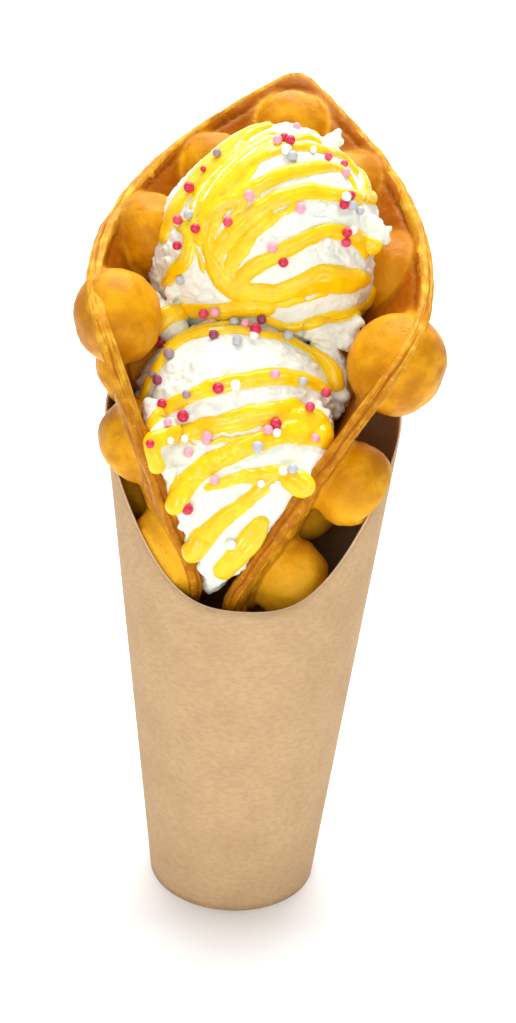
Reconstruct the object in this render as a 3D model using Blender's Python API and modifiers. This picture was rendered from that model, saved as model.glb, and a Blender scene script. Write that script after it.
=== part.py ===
"""Bubble waffle folded into a card cup, with two scoops of whipped cream.

The waffle starts as a flat rounded hexagon of bubbles: u runs across it and
v up it, in mm from its centre. wrap() folds that sheet about its upright
middle line into an open cone, which leans back and is squeezed into the cup
below. Lengths are in mm and become metres where a mesh is made. The origin
is the centre of the cup's underside, +Z is up and the front faces -Y.
"""
import math
import random

import bmesh
import bpy
import numpy as np
from mathutils import Matrix, Vector

MM = 0.001
SEED = 30
GAP = 0.35

# Card cup: its radius grows with height by CUP_FLARE. The cut edge rises from
# the front by LIP_RISE, half of it within LIP_TURN degrees.
CUP_BASE_R = 26.0
CUP_FLARE = 0.108
CUP_WALL = 0.6
CUP_SEGS = 48
LIP_FRONT = 103.0
LIP_RISE = 62.0
LIP_TURN = 65.0
LIP_POWER = 3.2
LIP_CLEAR = 4.5
LIP_SLOPE = 1.2

# Flat waffle: seven columns of bubbles on a hexagonal lattice.
PITCH = 34.0
COLUMN = PITCH * math.sqrt(3.0) / 2.0
OUTER_COLUMN = 3
LONGEST_COLUMN = 6
CORNER_U = OUTER_COLUMN * COLUMN
CORNER_V = PITCH
PEAK_V = PITCH * (LONGEST_COLUMN - 1) / 2.0
MARGIN = 20.0
WEB_THICK = 3.6
WEB_RINGS = 6
WEB_SEGS = 60
RING_SPREAD = 0.85

# How the sheet is folded. Each tuple is a polynomial in v / PEAK_V, from the
# sheet's middle (0) to its top bubble (1): the fold line's distance behind
# the cup's axis, its shift to the right and its height, how far the
# sheet turns from the fold line to its edge (radians), how much more of that
# turn comes near the fold line, how sharp the fold is (radians), and how much
# the width is squeezed.
SPINE_Y = (28.5, 16.3, 9.3, 5.3)
SPINE_X = (-5.3, 7.5, 2.7)
HEIGHT = (141.2, 89.9, 0.2, -6.6)
TURN = (2.04, -0.33, -0.04, -0.31)
EARLY = (0.16, -0.26)
FOLD = (0.24, -0.03, 0.13)
SQUEEZE = (0.63, 0.38, -0.02, -0.24)
FOLD_LENGTH = 6.0
EDGE_SAG = (-1.1, -11.0)
SAG_POWER = 2.5
TILT = 0.025
FREE_FROM = 66.0
FREE_OVER = 30.0
NUDGE = 0.4
FOLD_SAMPLES = 14
HALVINGS = 40

# Bubbles seen from the front, by (column, place from the bottom):
# shift right, back and up, and radius.
SHOWN = {
    (0, 5): (2.1, 0.0, -0.7, 12.0),
    (-1, 4): (3.5, 0.0, 1.3, 11.4),
    (-2, 3): (4.6, 0.0, 2.4, 11.6),
    (-3, 2): (2.5, 0.0, 2.8, 12.6),
    (-3, 1): (1.0, 0.0, 1.1, 11.7),
    (-3, 0): (2.4, -4.0, 1.4, 13.3),
    (1, 4): (2.0, 0.0, -0.4, 11.6),
    (2, 3): (0.7, 0.0, -1.8, 11.2),
    (3, 2): (1.6, -1.0, -1.6, 13.8),
    (3, 1): (7.2, -1.5, -3.2, 11.9),
    (3, 0): (5.2, -2.5, -0.7, 11.3),
}
HIDDEN_R = 12.4
HIDDEN_UNEVEN = 0.5
BUBBLE_FLAT = (0.90, 0.98)
CROWDED = 0.52
DEEP_BELOW = 118.0
SHOWN_GRID = (12, 7)
HIDDEN_GRID = (8, 6)
DEEP_GRID = (6, 5)

# Cream scoops: centre, half-axes (across, deep, up, down), and form: the share
# by which the underside bulges sideways, the share by which the top narrows,
# and how far the top leans to the right.
UPPER_C = (1.2, 13.0, 197.0)
UPPER_R = (30.0, 27.0, 29.5, 33.0)
UPPER_FORM = (0.24, 0.35, 4.0)
LOWER_C = (-5.6, -5.0, 149.3)
LOWER_R = (27.6, 26.0, 26.5, 26.5)
LOWER_FORM = (0.0, 0.0, 0.0)
TAPER_POWER = 2.2
CREAM_GRID = (18, 11)
CREAM_BUMP = 0.23
BUMP_WAVES = 9
BUMP_COARSEST = 3.0
UPPER_SEED = 1
LOWER_SEED = 2
# The lower scoop's tail between the sheet's edges.
TAIL_TOP = (-5.2, -9.5, 144.0)
TAIL_TIP = (-8.6, -25.0, 103.0)
TAIL_R = 19.0
TAIL_TIP_R = 2.2
TAIL_TAPER = 0.8
TAIL_FRONT = 0.9
TAIL_STEPS = 5

# Sauce strokes: half-width, then (azimuth, elevation) stations in degrees
# seen from a scoop's centre; azimuth 0 is the front and grows to the right.
UPPER_SAUCE = (
    (3.0, (-65, 70), (-65, 55), (-60, 45), (-55, 30), (-55, 20), (-60, 10), (-65, 0)),
    (2.2, (-45, 25), (-45, 35), (-35, 45), (-10, 55), (15, 55), (35, 45), (45, 30)),
    (2.3, (-35, 15), (-30, 25), (-15, 35), (10, 40), (30, 40), (45, 30), (50, 20)),
    (2.4, (-25, 5), (-20, 15), (-10, 25), (10, 25), (35, 25), (70, 25)),
    (2.0, (-20, -10), (-15, 5), (-5, 15), (5, 20), (10, 25)),
    (2.5, (-10, -15), (-5, -10), (5, 0), (20, 5), (30, 5), (50, 5), (65, -5)),
    (3.0, (-40, 15), (-30, 0), (-25, -10), (-20, -20), (10, -20), (25, -15), (60, -20)),
    (2.2, (-15, -30), (0, -30), (15, -25), (30, -25)),
    (2.6, (-40, 5), (-40, -5), (-45, -15), (-55, -25)),
)
LOWER_SAUCE = (
    (1.9, (-80, 0), (-75, 10), (-65, 30), (-60, 45), (-45, 60), (-20, 70), (20, 70),
     (50, 60), (65, 45), (75, 30), (80, 20)),
    (2.0, (-55, -5), (-40, 10), (-20, 25), (-5, 30), (15, 35), (40, 30), (65, 25)),
    (2.4, (-60, -15), (-35, -5), (-20, 5), (0, 10), (20, 15), (40, 10), (60, 5)),
    (2.6, (-45, -50), (-35, -40), (-10, -20), (5, -10), (20, 0), (40, 0), (60, -5)),
    (2.0, (-10, -35), (5, -25), (25, -25), (50, -30)),
)
# Strokes on the tail: half-width, then (x, z) stations.
TAIL_SAUCE = (
    (2.3, (-15, 115), (-11, 120), (-6, 125), (-1, 130), (5, 135), (10, 139)),
    (2.4, (-6, 109), (-3, 113), (1, 118), (4, 123)),
)
SAUCE_HIGH = 1.5
SAUCE_STEPS = 6
SAUCE_END = 0.6
SAUCE_RESOLUTION = 1
WELD = 0.01

# Sugar pearls: how many, and the elevations and azimuths they spread over.
UPPER_PEARLS = (22, -45.0, 66.0, 62.0)
LOWER_PEARLS = (26, -40.0, 70.0, 64.0)
PEARL_R = 1.35
PEARL_UNEVEN = (0.88, 1.1)
PEARL_LIFT = 1.0
PEARL_SPREAD = 4.2

CARD = ((0.62, 0.43, 0.26), 0.85)
CRUST = ((0.74, 0.36, 0.07), 0.45)
CREAM = ((0.95, 0.92, 0.82), 0.55)
SMOOTH_ANGLE = math.radians(50.0)


def poly(coeffs, q):
    """Value of a polynomial with rising powers."""
    total = 0.0 * q
    for c in reversed(coeffs):
        total = total * q + c
    return total


def wrap(u, v):
    """Folded place of the flat points (u, v), as an array of x, y, z."""
    u = np.asarray(u, float)
    v = np.asarray(v, float)
    q = v / PEAK_V
    reach = np.abs(u)
    fold = poly(FOLD, q)
    squeeze = poly(SQUEEZE, q)
    far = CORNER_U + MARGIN
    bend = (poly(TURN, q) - fold) / far
    x = 0.0 * u
    y = 0.0 * u
    for node, weight in zip(*np.polynomial.legendre.leggauss(FOLD_SAMPLES)):
        s = reach * (node + 1.0) / 2.0
        heading = fold * (1.0 - np.exp(-s / FOLD_LENGTH))
        heading = heading + bend * s * (1.0 + poly(EARLY, q) * (1.0 - s / far))
        free = np.clip((s - FREE_FROM) / FREE_OVER, 0.0, 1.0)
        free = free * free * (3.0 - 2.0 * free)
        step = weight / 2.0 * reach * (squeeze + (1.0 - squeeze) * free)
        x = x + step * np.cos(heading)
        y = y + step * np.sin(heading)
    sag = poly(EDGE_SAG, q) * (reach / CORNER_U) ** SAG_POWER
    place = (np.sign(u) * x + poly(SPINE_X, q), poly(SPINE_Y, q) - y,
             poly(HEIGHT, q) + sag - TILT * u)
    return np.stack(place, -1)


def sheet_frame(u, v):
    """Unit vectors across, up and out of the folded sheet at (u, v)."""
    across = wrap(u + NUDGE, v) - wrap(u - NUDGE, v)
    up = wrap(u, v + NUDGE) - wrap(u, v - NUDGE)
    out = np.cross(up, across)
    out /= np.linalg.norm(out, axis=-1, keepdims=True)
    up -= out * np.sum(up * out, axis=-1, keepdims=True)
    up /= np.linalg.norm(up, axis=-1, keepdims=True)
    return np.cross(up, out), up, out


def lattice():
    """(column, place, u, v) of each bubble on the flat sheet."""
    spots = []
    for column in range(-OUTER_COLUMN, OUTER_COLUMN + 1):
        count = LONGEST_COLUMN - abs(column)
        for place in range(count):
            v = PITCH * (place - (count - 1) / 2.0)
            spots.append((column, place, COLUMN * column, v))
    return spots


def hexagon_distance(x, y):
    """Distance from a flat point to the hexagon of the corner bubbles."""
    x = abs(x)
    y = abs(y)
    edge = Vector((-CORNER_U, PEAK_V - CORNER_V))
    along = (Vector((x - CORNER_U, y - CORNER_V)).dot(edge)) / edge.length_squared
    corner = Vector((CORNER_U, CORNER_V)) + edge * min(1.0, max(0.0, along))
    slanted = edge.normalized()
    height = (x - CORNER_U) * slanted.y - (y - CORNER_V) * slanted.x
    if height <= 0.0 and x <= CORNER_U:
        return 0.0
    if y < CORNER_V:
        return x - CORNER_U
    return (Vector((x, y)) - corner).length


def sheet_reach(angle, margin):
    """Distance from the flat sheet's centre to its rounded edge."""
    low = 0.0
    high = CORNER_U + PEAK_V
    for _ in range(HALVINGS):
        middle = (low + high) / 2.0
        x = math.cos(angle) * middle
        y = math.sin(angle) * middle
        if hexagon_distance(x, y) < margin:
            low = middle
        else:
            high = middle
    return low


def lip_height(angle):
    """Height of the cup's cut edge; the angle is from the front, in radians."""
    h = (abs(math.degrees(angle)) / LIP_TURN) ** LIP_POWER
    return LIP_FRONT + LIP_RISE * h / (1.0 + h)


def cup_radius(z):
    """Outer radius of the cup at a height."""
    return CUP_BASE_R + CUP_FLARE * z


def new_collection(name, cutter=False):
    """New collection; one for cutters stays out of the model."""
    group = bpy.data.collections.new(name)
    bpy.context.scene.collection.children.link(group)
    group.hide_render = cutter
    return group


def add_object(name, data, collection, cutter=False):
    """New object in a collection."""
    obj = bpy.data.objects.new(name, data)
    collection.objects.link(obj)
    if cutter:
        obj.hide_render = True
        obj.display_type = "WIRE"
    return obj


def mesh_from(name, work):
    """New mesh in metres from a bmesh in mm, which is freed."""
    bmesh.ops.scale(work, vec=(MM, MM, MM), verts=work.verts)
    bmesh.ops.recalc_face_normals(work, faces=work.faces)
    mesh = bpy.data.meshes.new(name)
    work.to_mesh(mesh)
    work.free()
    return mesh


def baked(obj):
    """Mesh of an object with its modifiers applied."""
    bpy.context.view_layer.update()
    graph = bpy.context.evaluated_depsgraph_get()
    return bpy.data.meshes.new_from_object(obj.evaluated_get(graph))


def combine(obj, operation, other, solver="EXACT"):
    """Apply one Boolean of an object with a collection or another object."""
    mod = obj.modifiers.new(operation.lower(), "BOOLEAN")
    mod.operation = operation
    mod.solver = solver
    if isinstance(other, bpy.types.Collection):
        mod.operand_type = "COLLECTION"
        mod.collection = other
    else:
        mod.object = other
    mesh = baked(obj)
    obj.modifiers.clear()
    old = obj.data
    obj.data = mesh
    bpy.data.meshes.remove(old)


def drop_collection(group):
    """Remove a collection together with its objects."""
    for obj in list(group.objects):
        bpy.data.objects.remove(obj, do_unlink=True)
    bpy.data.collections.remove(group)


def drop_scraps(obj):
    """Keep only the largest of the bodies that a cut leaves."""
    work = bmesh.new()
    work.from_mesh(obj.data)
    left = set(work.verts)
    bodies = []
    while left:
        stack = [left.pop()]
        body = []
        while stack:
            vert = stack.pop()
            body.append(vert)
            for edge in vert.link_edges:
                other = edge.other_vert(vert)
                if other in left:
                    left.remove(other)
                    stack.append(other)
        bodies.append(body)
    bodies.sort(key=len)
    for body in bodies[:-1]:
        bmesh.ops.delete(work, geom=body, context="VERTS")
    bmesh.ops.triangulate(work, faces=work.faces)
    work.to_mesh(obj.data)
    work.free()


def make_cup(name, collection):
    """Card cup: an open cone whose rim is slid up to the cut edge."""
    work = bmesh.new()
    bmesh.ops.create_cone(work, cap_ends=True, segments=CUP_SEGS, radius1=CUP_BASE_R,
                          radius2=cup_radius(LIP_FRONT), depth=LIP_FRONT,
                          matrix=Matrix.Translation((0.0, 0.0, LIP_FRONT / 2.0)))
    rim = [v for v in work.verts if v.co.z > LIP_FRONT / 2.0]
    cap = [f for f in work.faces if all(v in rim for v in f.verts)]
    bmesh.ops.delete(work, geom=cap, context="FACES_ONLY")
    for vert in rim:
        angle = math.atan2(vert.co.x, -vert.co.y)
        z = lip_height(angle)
        vert.co = (cup_radius(z) * math.sin(angle), -cup_radius(z) * math.cos(angle), z)
    cup = add_object(name, mesh_from(name, work), collection)
    shell = cup.modifiers.new("card", "SOLIDIFY")
    shell.thickness = CUP_WALL * MM
    shell.offset = -1.0
    shell.use_even_offset = True
    return cup


def make_web(name, collection, grow):
    """Folded sheet between the bubbles, lofted over rings of the flat one."""
    angles = [2.0 * math.pi * (j + 0.5) / WEB_SEGS for j in range(WEB_SEGS)]
    reach = [sheet_reach(angle, MARGIN + grow) for angle in angles]
    work = bmesh.new()
    rings = []
    for i in range(1, WEB_RINGS + 1):
        share = math.sin(0.5 * math.pi * i / WEB_RINGS) ** RING_SPREAD
        u = [share * r * math.cos(a) for a, r in zip(angles, reach)]
        v = [share * r * math.sin(a) for a, r in zip(angles, reach)]
        rings.append([work.verts.new(point) for point in wrap(u, v)])
    centre = work.verts.new(wrap(0.0, 0.0))
    for j in range(WEB_SEGS):
        k = (j + 1) % WEB_SEGS
        work.faces.new((centre, rings[0][j], rings[0][k]))
        for inner, outer in zip(rings, rings[1:]):
            work.faces.new((inner[j], outer[j], outer[k]))
            work.faces.new((inner[j], outer[k], inner[k]))
    web = add_object(name, mesh_from(name, work), collection)
    sheet = web.modifiers.new("sheet", "SOLIDIFY")
    sheet.thickness = (WEB_THICK + 2.0 * grow) * MM
    sheet.offset = 0.0
    return web


def add_bubbles(group, grow):
    """One uneven, slightly flat bubble at each place of the lattice."""
    dice = random.Random(SEED)
    spots = lattice()
    u = np.array([spot[2] for spot in spots])
    v = np.array([spot[3] for spot in spots])
    centres = wrap(u, v)
    frames = sheet_frame(u, v)
    for i, spot in enumerate(spots):
        wobble = dice.uniform(-HIDDEN_UNEVEN, HIDDEN_UNEVEN)
        flat = dice.uniform(*BUBBLE_FLAT)
        centre = centres[i].copy()
        grid = SHOWN_GRID
        if spot[:2] in SHOWN:
            centre += SHOWN[spot[:2]][:3]
            radius = SHOWN[spot[:2]][3]
        else:
            nearest = np.sort(np.linalg.norm(centres - centres[i], axis=1))[1]
            radius = min(HIDDEN_R, CROWDED * nearest) + wobble
            grid = DEEP_GRID if centre[2] < DEEP_BELOW else HIDDEN_GRID
        across, up, out = (Vector(axes[i]) for axes in frames)
        place = Matrix((across * (radius + grow), up * (radius + grow),
                        out * (radius * flat + grow))).transposed().to_4x4()
        place.translation = Vector(centre)
        work = bmesh.new()
        bmesh.ops.create_uvsphere(work, u_segments=grid[0], v_segments=grid[1],
                                  radius=1.0, matrix=place)
        name = "bubble_%d_%d" % (spot[0] + OUTER_COLUMN, spot[1])
        add_object(name, mesh_from(name, work), group, cutter=True)


def press_into_cup(obj):
    """Flatten what would touch the card against the inside of the cup."""
    for vert in obj.data.vertices:
        x, y, z = vert.co / MM
        room = cup_radius(z) - CUP_WALL - GAP
        above = z - lip_height(math.atan2(x, -y)) - LIP_CLEAR
        room += LIP_SLOPE * max(0.0, above)
        r = math.hypot(x, y)
        if r > room:
            vert.co.x *= room / r
            vert.co.y *= room / r


def make_waffle(name, collection, grow=0.0):
    """Sheet and bubbles as one solid, grown all over where it cuts a room."""
    waffle = make_web(name, collection, grow)
    group = new_collection(name + "_bubbles", cutter=True)
    add_bubbles(group, grow)
    combine(waffle, "UNION", group)
    drop_collection(group)
    drop_scraps(waffle)
    press_into_cup(waffle)
    return waffle


def direction_of(azimuth, elevation):
    """Unit vector of an azimuth and elevation in degrees."""
    a = math.radians(azimuth)
    e = math.radians(elevation)
    return Vector((math.sin(a) * math.cos(e), -math.cos(a) * math.cos(e), math.sin(e)))


class Scoop:
    """A bumpy ball of cream, with what is laid on its surface."""

    def __init__(self, centre, radii, form, seed):
        self.centre = Vector(centre)
        self.radii = radii
        self.form = form
        self.seed = seed
        dice = random.Random(seed)
        self.waves = []
        for k in range(BUMP_WAVES):
            way = Vector([dice.gauss(0.0, 1.0) for _ in range(3)]).normalized()
            self.waves.append((way * (BUMP_COARSEST + k), dice.uniform(0.0, 2.0 * math.pi)))

    def surface(self, way, lift=0.0):
        """Point over the surface in a direction, and the normal there."""
        across, deep, up, down = self.radii
        bulge, taper, lean = self.form
        rise = max(0.0, way.z)
        narrow = 1.0 - taper * rise ** TAPER_POWER
        across *= 1.0 + bulge * max(0.0, -2.0 * way.z) * math.hypot(way.x, way.y)
        axes = Vector((across * narrow, deep * narrow, up if way.z > 0.0 else down))
        normal = Vector([w / a for w, a in zip(way, axes)]).normalized()
        bump = sum(math.sin(wave.dot(way) + shift) for wave, shift in self.waves)
        point = self.centre + Vector([w * a for w, a in zip(way, axes)])
        point.x += lean * rise
        return point + normal * (lift + CREAM_BUMP * bump), normal

    def make_core(self, name, collection, grow):
        """The ball itself."""
        work = bmesh.new()
        bmesh.ops.create_uvsphere(work, u_segments=CREAM_GRID[0],
                                  v_segments=CREAM_GRID[1], radius=1.0)
        for vert in work.verts:
            vert.co = self.surface(vert.co.normalized(), grow)[0]
        return add_object(name, mesh_from(name, work), collection)

    def add_sauce(self, group, strokes, grow):
        """Thick drizzle, laid over the surface and sunk partly into it."""
        for i, (half_width, *stations) in enumerate(strokes):
            line = []
            for azimuth, elevation in smooth_path(stations):
                way = direction_of(azimuth, elevation)
                line.append(self.surface(way, SAUCE_HIGH - half_width)[0])
            add_stroke("sauce_%d" % i, line, half_width + grow, group)

    def add_pearls(self, group, pearls, grow):
        """Sugar pearls scattered over the front."""
        count, low, high, wide = pearls
        dice = random.Random(self.seed)
        spots = []
        while len(spots) < count:
            way = direction_of(dice.uniform(-wide, wide), dice.uniform(low, high))
            spot = self.surface(way, PEARL_LIFT)[0]
            radius = PEARL_R * dice.uniform(*PEARL_UNEVEN)
            if all((spot - other).length > PEARL_SPREAD for other, _ in spots):
                spots.append((spot, radius))
        for i, (spot, radius) in enumerate(spots):
            work = bmesh.new()
            bmesh.ops.create_icosphere(work, subdivisions=1, radius=radius + grow,
                                       matrix=Matrix.Translation(spot))
            name = "pearl_%02d" % i
            add_object(name, mesh_from(name, work), group, cutter=True)


def smooth_path(stations):
    """Points along a Catmull-Rom curve through the stations."""
    data = [Vector(station) for station in stations]
    data = [2.0 * data[0] - data[1]] + data + [2.0 * data[-1] - data[-2]]
    spans = len(stations) - 1
    steps = max(SAUCE_STEPS, len(stations))
    path = []
    for n in range(steps + 1):
        i = min(spans * n // steps, spans - 1)
        t = spans * n / steps - i
        p0, p1, p2, p3 = data[i:i + 4]
        path.append(0.5 * (2.0 * p1 + (p2 - p0) * t
                           + (2.0 * p0 - 5.0 * p1 + 4.0 * p2 - p3) * t * t
                           + (3.0 * p1 - p0 - 3.0 * p2 + p3) * t ** 3))
    return path


def add_tube(name, points, radii, group):
    """Closed round tube along a line, with a radius at each point."""
    curve = bpy.data.curves.new(name, "CURVE")
    curve.dimensions = "3D"
    curve.bevel_depth = MM
    curve.bevel_resolution = SAUCE_RESOLUTION
    curve.use_fill_caps = True
    spline = curve.splines.new("POLY")
    spline.points.add(len(points) - 1)
    for knot, point, radius in zip(spline.points, points, radii):
        knot.co = (*(point * MM), 1.0)
        knot.radius = radius
    tube = add_object(name + "_line", curve, group, cutter=True)
    mesh = baked(tube)
    bpy.data.objects.remove(tube, do_unlink=True)
    work = bmesh.new()
    work.from_mesh(mesh)
    bpy.data.meshes.remove(mesh)
    bmesh.ops.remove_doubles(work, verts=work.verts, dist=WELD * MM)
    bmesh.ops.scale(work, vec=(1.0 / MM, 1.0 / MM, 1.0 / MM), verts=work.verts)
    return add_object(name, mesh_from(name, work), group, cutter=True)


def add_stroke(name, line, half_width, group):
    """Drizzle that narrows at both ends."""
    radii = [half_width] * len(line)
    radii[0] *= SAUCE_END
    radii[-1] *= SAUCE_END
    return add_tube(name, line, radii, group)


def tail_axis(share):
    """Centre and radius of the tail from its top (0) to its tip (1)."""
    centre = Vector(TAIL_TOP).lerp(Vector(TAIL_TIP), share)
    return centre, TAIL_R * (1.0 - share) ** TAIL_TAPER + TAIL_TIP_R


def add_tail(group):
    """Cream that runs down between the sheet's edges, and its sauce."""
    rings = [tail_axis(i / TAIL_STEPS) for i in range(TAIL_STEPS + 1)]
    points = [centre for centre, _ in rings]
    add_tube("tail", points, [radius for _, radius in rings], group)
    for i, (half_width, *stations) in enumerate(TAIL_SAUCE):
        line = []
        for x, z in smooth_path(stations):
            share = (TAIL_TOP[2] - z) / (TAIL_TOP[2] - TAIL_TIP[2])
            centre, radius = tail_axis(min(1.0, max(0.0, share)))
            aside = min(abs(x - centre.x), TAIL_FRONT * radius)
            front = centre.y - math.sqrt(radius * radius - aside * aside)
            line.append(Vector((x, front + half_width - SAUCE_HIGH, z)))
        add_stroke("tail_sauce_%d" % i, line, half_width, group)


def make_scoop(name, collection, scoop, sauce, pearls, grow=0.0, tail=False):
    """One scoop and all that lies on it, as one solid."""
    solid = scoop.make_core(name, collection, grow)
    group = new_collection(name + "_toppings", cutter=True)
    scoop.add_sauce(group, sauce, grow)
    scoop.add_pearls(group, pearls, grow)
    if tail:
        add_tail(group)
    combine(solid, "UNION", group, solver="MANIFOLD")
    drop_collection(group)
    return solid


def paint(obj, colour, roughness):
    """Give an object its own plain material and smooth shading."""
    mat = bpy.data.materials.new(obj.name)
    mat.use_nodes = True
    shader = mat.node_tree.nodes["Principled BSDF"]
    shader.inputs["Base Color"].default_value = (*colour, 1.0)
    shader.inputs["Roughness"].default_value = roughness
    mat.diffuse_color = (*colour, 1.0)
    obj.data.materials.clear()
    obj.data.materials.append(mat)
    obj.data.shade_smooth()
    obj.data.set_sharp_from_angle(angle=SMOOTH_ANGLE)


def main():
    """Build the cup, the waffle and the two scoops."""
    for obj in list(bpy.data.objects):
        bpy.data.objects.remove(obj, do_unlink=True)
    parts = new_collection("bubble_waffle")
    cutters = new_collection("cutters", cutter=True)

    cup = make_cup("holder", parts)
    waffle = make_waffle("waffle", parts)
    above = Scoop(UPPER_C, UPPER_R, UPPER_FORM, UPPER_SEED)
    below = Scoop(LOWER_C, LOWER_R, LOWER_FORM, LOWER_SEED)
    upper = make_scoop("scoop_upper", parts, above, UPPER_SAUCE, UPPER_PEARLS)
    lower = make_scoop("scoop_lower", parts, below, LOWER_SAUCE, LOWER_PEARLS, tail=True)

    # The bubbles press into the cream, and the lower scoop into the upper one.
    waffle_room = make_waffle("waffle_room", cutters, GAP)
    lower_room = make_scoop("lower_room", cutters, below, LOWER_SAUCE, LOWER_PEARLS, GAP)
    combine(upper, "DIFFERENCE", waffle_room, solver="MANIFOLD")
    combine(lower, "DIFFERENCE", waffle_room, solver="MANIFOLD")
    combine(upper, "DIFFERENCE", lower_room, solver="MANIFOLD")
    drop_scraps(upper)
    drop_scraps(lower)
    drop_collection(cutters)

    paint(cup, *CARD)
    paint(waffle, *CRUST)
    paint(upper, *CREAM)
    paint(lower, *CREAM)


main()
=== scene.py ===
# Looks of the bubble waffle: crust, cream, sauce, sugar pearls and card cup.
#
# The shapes repeat the solids at a finer grain. Lengths are in mm and become
# metres where a mesh is made. Places on the cream that come from the photo
# are in its pixels: a ray from the camera carries them onto the surface.
import math
import random

import bmesh
import bpy
import numpy as np
from mathutils import Matrix, Vector, noise
from mathutils.bvhtree import BVHTree
from mathutils.kdtree import KDTree

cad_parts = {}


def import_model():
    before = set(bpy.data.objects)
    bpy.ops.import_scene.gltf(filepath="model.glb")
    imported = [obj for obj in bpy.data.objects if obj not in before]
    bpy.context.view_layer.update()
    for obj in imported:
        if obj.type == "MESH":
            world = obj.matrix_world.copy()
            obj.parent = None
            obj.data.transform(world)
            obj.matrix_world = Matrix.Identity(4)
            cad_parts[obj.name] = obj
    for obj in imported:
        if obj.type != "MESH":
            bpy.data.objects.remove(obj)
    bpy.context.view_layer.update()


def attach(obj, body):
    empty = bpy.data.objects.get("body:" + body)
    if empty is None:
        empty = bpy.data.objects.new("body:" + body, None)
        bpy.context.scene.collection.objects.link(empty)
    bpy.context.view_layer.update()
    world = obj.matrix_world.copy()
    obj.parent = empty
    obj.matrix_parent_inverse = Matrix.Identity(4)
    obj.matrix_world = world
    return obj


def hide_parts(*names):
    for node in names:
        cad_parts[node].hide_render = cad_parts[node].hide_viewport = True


MM = 0.001
SEED = 30

# Camera, fitted to the cup's outline in the photo.
PHOTO_SIZE = (516, 1023)
FOCAL_PX = 1191.1
TARGET = (2.7, 0.0, 119.0)
DISTANCE = 346.7
ELEVATION = 18.8
ROLL = 3.0
SENSOR = 36.0

# Card cup, as in the solids.
CUP_BASE_R = 26.0
CUP_FLARE = 0.108
CUP_WALL = 0.6
LIP_FRONT = 103.0
LIP_RISE = 62.0
LIP_TURN = 65.0
LIP_POWER = 3.2
LIP_CLEAR = 4.5
LIP_SLOPE = 1.2
CUP_SEGS = 240
CUP_ROWS = 36
GAP = 0.35

# Flat waffle and how it is folded, as in the solids.
PITCH = 34.0
COLUMN = PITCH * math.sqrt(3.0) / 2.0
OUTER_COLUMN = 3
LONGEST_COLUMN = 6
CORNER_U = OUTER_COLUMN * COLUMN
CORNER_V = PITCH
PEAK_V = PITCH * (LONGEST_COLUMN - 1) / 2.0
MARGIN = 20.0
WEB_THICK = 3.6
SPINE_Y = (28.5, 16.3, 9.3, 5.3)
SPINE_X = (-5.3, 7.5, 2.7)
HEIGHT = (141.2, 89.9, 0.2, -6.6)
TURN = (2.04, -0.33, -0.04, -0.31)
EARLY = (0.16, -0.26)
FOLD = (0.24, -0.03, 0.13)
SQUEEZE = (0.63, 0.38, -0.02, -0.24)
FOLD_LENGTH = 6.0
EDGE_SAG = (-1.1, -11.0)
SAG_POWER = 2.5
TILT = 0.025
FREE_FROM = 66.0
FREE_OVER = 30.0
NUDGE = 0.4
FOLD_SAMPLES = 14
HALVINGS = 40
SHOWN = {
    (0, 5): (2.1, 0.0, -0.7, 12.0),
    (-1, 4): (3.5, 0.0, 1.3, 11.4),
    (-2, 3): (4.6, 0.0, 2.4, 11.6),
    (-3, 2): (2.5, 0.0, 2.8, 12.6),
    (-3, 1): (1.0, 0.0, 1.1, 11.7),
    (-3, 0): (2.4, -4.0, 1.4, 13.3),
    (1, 4): (2.0, 0.0, -0.4, 11.6),
    (2, 3): (0.7, 0.0, -1.8, 11.2),
    (3, 2): (1.6, -1.0, -1.6, 13.8),
    (3, 1): (7.2, -1.5, -3.2, 11.9),
    (3, 0): (5.2, -2.5, -0.7, 11.3),
}
HIDDEN_R = 12.4
HIDDEN_UNEVEN = 0.5
BUBBLE_FLAT = (0.90, 0.98)
CROWDED = 0.52

# Grain of the fine waffle. Its sheet ends a little inside the baked edge.
WEB_RINGS = 80
WEB_SEGS = 300
WEB_SHORT = 1.0
BUBBLE_GRID = (48, 28)
CRUST_VOXEL = 0.8
CRUST_SOFTEN = 5
SAMPLE_STEP = 1.6
SWELL = 0.65
PIT = 0.19
WRINKLE = 0.6
WRINKLE_LEVEL = 0.4

# Distances from a bubble's centre, in its radii, at which its ball ends and the
# sheet begins; and the depth over which the inner side passes into the outer.
BALL_END = 1.12
WEB_FROM = 1.02
WEB_OVER = 0.25
INSIDE_BAND = 3.0

# A faint crease runs round the sheet, inside its edge; the crust's colour darkens it with painted
# shade.
CALM_EDGE = 2.5
CREASE_IN = 6.5
CREASE_WANDER = 1.2
CREASE_WIDE = 0.9
CREASE_DEEP = 0.8

# Baked edge: a rounded band with shallow grooves that come and go.
RIM_STEPS = 1300
RIM_ACROSS = 26
RIM_HALF = 2.1
RIM_UNEVEN = 0.16
RIM_DEPTH = 0.9
RIM_GROOVE = 0.45
RIM_STREAK = 0.16
RIM_ROOT = 3.6
RIM_ROOT_HALF = 0.72
RIM_RAGGED = 0.4
RIM_SWAY = 0.35
RIM_OUTWARD = 2.0
STREAK_STRETCH = 0.16
STREAKS_ACROSS = 6.0
# Grooves: noise, place across the edge, half-width, depth and how often seen.
GROOVES = (
    ("groove_middle", 0.0, 0.20, 1.0, 0.6),
    ("groove_left", -0.55, 0.13, 0.5, 0.0),
    ("groove_right", 0.55, 0.13, 0.5, 0.0),
)
GROOVE_SHARP = 1.4

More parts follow.
